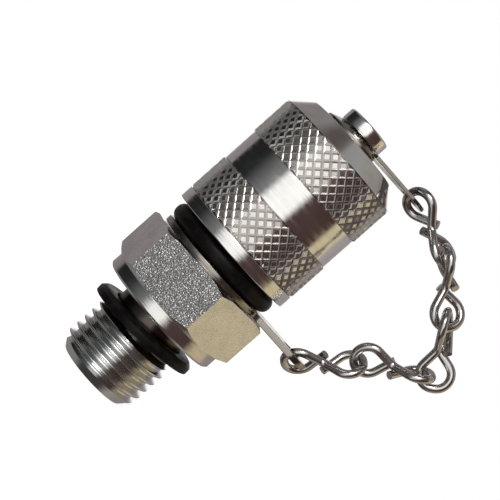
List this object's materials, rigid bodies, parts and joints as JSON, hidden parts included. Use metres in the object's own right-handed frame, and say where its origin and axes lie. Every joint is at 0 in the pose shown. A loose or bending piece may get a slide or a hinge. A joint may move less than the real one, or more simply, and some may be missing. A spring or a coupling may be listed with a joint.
{
  "type": "hydraulic pressure test fitting",
  "caption": "Hydraulic test fitting: check valve in a threaded hexagon housing, closed by a knurled screw cap that hangs on a chain of bent wire links",
  "frame": {"origin": "middle of the collar face that seats on the port, on the axis of the fitting", "axes": "+Z runs along the fitting from the stud to the cap, +X points at the chain"},
  "size_m": [0.0439, 0.0206, 0.0499],
  "materials": {
    "plated_steel": "turned and zinc nickel plated, bright with fine tool marks",
    "sheet_steel": "stamped sheet, zinc plated, soft sheen",
    "chain_wire": "drawn wire, bright",
    "valve_steel": "turned, bare",
    "spring_steel": "drawn spring wire",
    "seal_rubber": "black elastomer, satin"
  },
  "bodies": {
    "root": {"housing": "plated_steel", "stud_seal": "seal_rubber", "dust_ring": "seal_rubber", "valve_seat": "valve_steel", "seat_seal": "seal_rubber", "probe_seal": "seal_rubber", "guide_bush": "valve_steel", "retaining_clip": "spring_steel", "valve_spring": "spring_steel"},
    "rivet": {"cap_rivet": "plated_steel"},
    "cap": {"cap": "plated_steel", "cap_gasket": "seal_rubber"},
    "strap": {"cap_strap": "sheet_steel"},
    "neck_ring": {"neck_ring": "sheet_steel"},
    "link_1": {"chain_link_1": "chain_wire"},
    "link_2": {"chain_link_2": "chain_wire"},
    "link_3": {"chain_link_3": "chain_wire"},
    "link_4": {"chain_link_4": "chain_wire"},
    "link_5": {"chain_link_5": "chain_wire"},
    "poppet": {"poppet": "valve_steel", "poppet_seal": "seal_rubber"}
  },
  "joints": [
    {"name": "cap_lift", "type": "slide", "parent": "root", "child": "rivet", "axis": [0, 0, 1], "range_m": [0, 0.009]},
    {"name": "cap_turn", "type": "hinge", "parent": "rivet", "child": "cap", "pos_m": [0, 0, 0.0237], "axis": [0, 0, 1], "range_deg": [0, 1620]},
    {"name": "ring_swivel", "type": "hinge", "parent": "root", "child": "neck_ring", "pos_m": [0, 0, 0.0098], "axis": [0, 0, 1], "continuous": true},
    {"name": "strap_swivel", "type": "hinge", "parent": "rivet", "child": "strap", "pos_m": [0, 0, 0.03565], "axis": [0, 0, 1], "continuous": true},
    {"name": "link_1_swing", "type": "hinge", "parent": "neck_ring", "child": "link_1", "pos_m": [0.0153, 0, 0.0098], "axis": [0, -1, 0], "range_deg": [0, 13.7]},
    {"name": "link_2_swing", "type": "hinge", "parent": "link_1", "child": "link_2", "pos_m": [0.02252, 0, 0.01636], "axis": [0, -1, 0], "range_deg": [0, 3.9]},
    {"name": "link_3_swing", "type": "hinge", "parent": "link_2", "child": "link_3", "pos_m": [0.0304, 0, 0.02171], "axis": [0, -1, 0], "range_deg": [-26.7, 0]},
    {"name": "link_5_swing", "type": "hinge", "parent": "strap", "child": "link_5", "pos_m": [0.0104, 0, 0.03565], "axis": [0, -1, 0], "range_deg": [-21.8, 0]},
    {"name": "link_4_swing", "type": "hinge", "parent": "link_5", "child": "link_4", "pos_m": [0.01933, 0, 0.034], "axis": [0, -1, 0], "range_deg": [0, 8.8]},
    {"name": "poppet_push", "type": "slide", "parent": "root", "child": "poppet", "axis": [0, 0, -1], "range_m": [0, 0.002], "stiffness_N_per_m": 2000, "springref_m": -0.004, "deforming": ["valve_spring"]}
  ],
  "couplings": [
    {"joint": "cap_lift", "follows": "cap_turn", "m_per_rad": 0.00031831},
    {"joint": "strap_swivel", "follows": "ring_swivel", "ratio": 1},
    {"joint": "link_1_swing", "follows": "cap_turn", "ratio": 0.008415},
    {"joint": "link_2_swing", "follows": "cap_turn", "ratio": 0.002399},
    {"joint": "link_3_swing", "follows": "cap_turn", "ratio": -0.016427},
    {"joint": "link_5_swing", "follows": "cap_turn", "ratio": -0.013426},
    {"joint": "link_4_swing", "follows": "cap_turn", "ratio": 0.005395}
  ]
}
